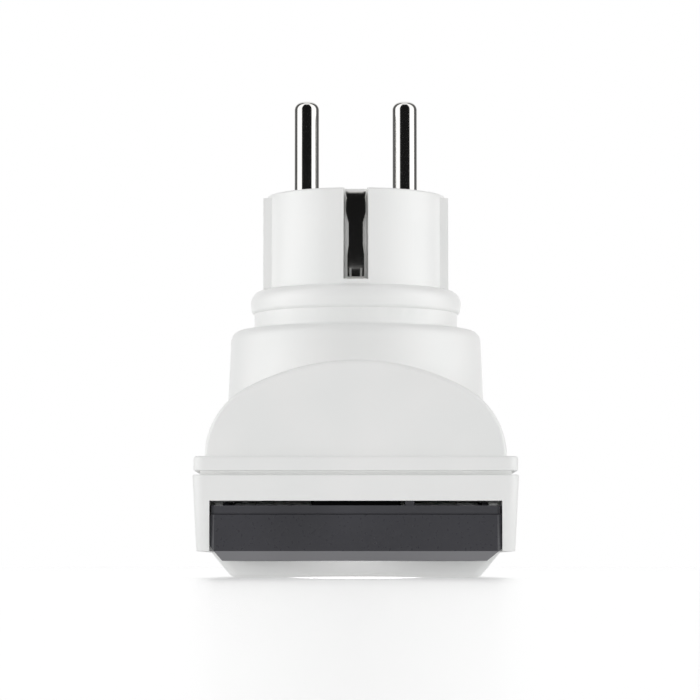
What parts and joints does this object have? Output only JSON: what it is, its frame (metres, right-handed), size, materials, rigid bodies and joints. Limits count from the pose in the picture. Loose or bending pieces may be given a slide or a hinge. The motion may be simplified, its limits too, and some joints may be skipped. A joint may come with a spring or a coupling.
{
  "type": "plug-in power meter",
  "caption": "White plug-in mains power meter: round-pin plug on a vaulted back, dark display panel with keys and a pass-through socket on the front, full inner electronics.",
  "frame": {"origin": "middle of the footprint, on the plane of the socket plinth's face that the meter lies on", "axes": "+Z out of the wall-plug side along the pins, +Y along the case from the display end to the plug and socket end, +X across the two pins"},
  "size_m": [0.0546, 0.117, 0.0919],
  "materials": {
    "white_abs": "satin moulded",
    "plug_white": "semi-gloss moulded",
    "socket_white": "semi-gloss moulded",
    "shutter_white": "matt moulded",
    "dark_bezel": "fine satin moulded",
    "dark_carrier": "matt moulded",
    "window_clear": "polished acrylic",
    "key_grey": "satin moulded",
    "reset_red": "satin moulded",
    "switch_black": "matt moulded",
    "plunger_ivory": "matt moulded",
    "nickel": "polished nickel plate",
    "spring_bronze": "nickel-plated spring strip",
    "spring_steel": "bright drawn",
    "brass_strip": "stamped",
    "copper_strip": "stamped",
    "manganin": "stamped",
    "zinc_screw": "zinc plated",
    "carrier_cream": "thermoset moulded",
    "ring_grey": "moulded",
    "wire_brown": "insulated",
    "wire_black": "insulated",
    "wire_blue": "insulated",
    "board_green": "solder mask",
    "capacitor_yellow": "cast case",
    "capacitor_sleeve": "shrink sleeve",
    "varistor_blue": "dipped coat",
    "fuse_black": "moulded",
    "chip_black": "moulded epoxy",
    "cell_steel": "bright",
    "header_black": "moulded",
    "lcd_glass": "polished",
    "lcd_frame_white": "moulded",
    "zebra_grey": "layered elastomer",
    "reflector": "satin foil"
  },
  "bodies": {
    "case": {"front_shell": "white_abs", "rear_shell": "white_abs", "case_screws": "zinc_screw", "plug_insert": "plug_white", "plug_clamp_ring": "ring_grey", "plug_insert_screws": "zinc_screw", "line_pin": "nickel", "neutral_pin": "nickel", "earth_spring_near": "spring_bronze", "earth_spring_far": "spring_bronze", "earth_bridge": "brass_strip", "earth_rivets": "brass_strip", "earth_clip_near": "spring_bronze", "earth_clip_far": "spring_bronze", "socket_well": "socket_white", "socket_floor": "socket_white", "well_screws": "zinc_screw", "shutter_spring": "spring_steel", "contact_carrier": "carrier_cream", "carrier_screws": "zinc_screw", "line_receptacle": "brass_strip", "neutral_receptacle": "brass_strip", "receptacle_springs": "spring_steel", "shunt_resistor": "manganin", "neutral_link": "copper_strip", "line_sense_wire": "wire_brown", "load_sense_wire": "wire_black", "neutral_sense_wire": "wire_blue", "power_board": "board_green", "board_screws": "zinc_screw", "suppression_capacitor": "capacitor_yellow", "electrolytic_capacitor": "capacitor_sleeve", "varistor": "varistor_blue", "fuse": "fuse_black", "bridge_rectifier": "chip_black", "metering_chip": "chip_black", "backup_battery": "cell_steel", "battery_holder": "header_black", "board_link_header": "header_black", "display_bezel": "dark_bezel", "display_window": "window_clear", "bezel_carrier": "dark_carrier", "display_board": "board_green", "display_screws": "zinc_screw", "controller_chip": "chip_black", "lcd_glass": "lcd_glass", "lcd_frame": "lcd_frame_white", "zebra_strips": "zebra_grey", "lcd_backing": "reflector", "switch_bodies": "switch_black"},
    "shutter": {"shutter_plate": "shutter_white"},
    "mode_key": {"mode_keycap": "key_grey", "mode_plunger": "plunger_ivory"},
    "set_key": {"set_keycap": "key_grey", "set_plunger": "plunger_ivory"},
    "up_key": {"up_keycap": "key_grey", "up_plunger": "plunger_ivory"},
    "down_key": {"down_keycap": "key_grey", "down_plunger": "plunger_ivory"},
    "reset_key": {"reset_button": "reset_red"}
  },
  "joints": [
    {"name": "shutter_turn", "type": "hinge", "parent": "case", "child": "shutter", "pos_m": [0, 0.0255, 0.0205], "axis": [0, 0, 1], "range_deg": [0, 45], "stiffness_Nm_per_rad": 0.0005, "springref_deg": -20.05, "deforming": ["shutter_spring"]},
    {"name": "mode_press", "type": "slide", "parent": "case", "child": "mode_key", "axis": [0, 0, 1], "range_m": [0, 0.0005], "stiffness_N_per_m": 800, "springref_m": -0.0006},
    {"name": "set_press", "type": "slide", "parent": "case", "child": "set_key", "axis": [0, 0, 1], "range_m": [0, 0.0005], "stiffness_N_per_m": 800, "springref_m": -0.0006},
    {"name": "up_press", "type": "slide", "parent": "case", "child": "up_key", "axis": [0, 0, 1], "range_m": [0, 0.0005], "stiffness_N_per_m": 800, "springref_m": -0.0006},
    {"name": "down_press", "type": "slide", "parent": "case", "child": "down_key", "axis": [0, 0, 1], "range_m": [0, 0.0005], "stiffness_N_per_m": 800, "springref_m": -0.0006},
    {"name": "reset_press", "type": "slide", "parent": "case", "child": "reset_key", "axis": [0, 0, 1], "range_m": [0, 0.0005], "stiffness_N_per_m": 800, "springref_m": -0.0006}
  ]
}
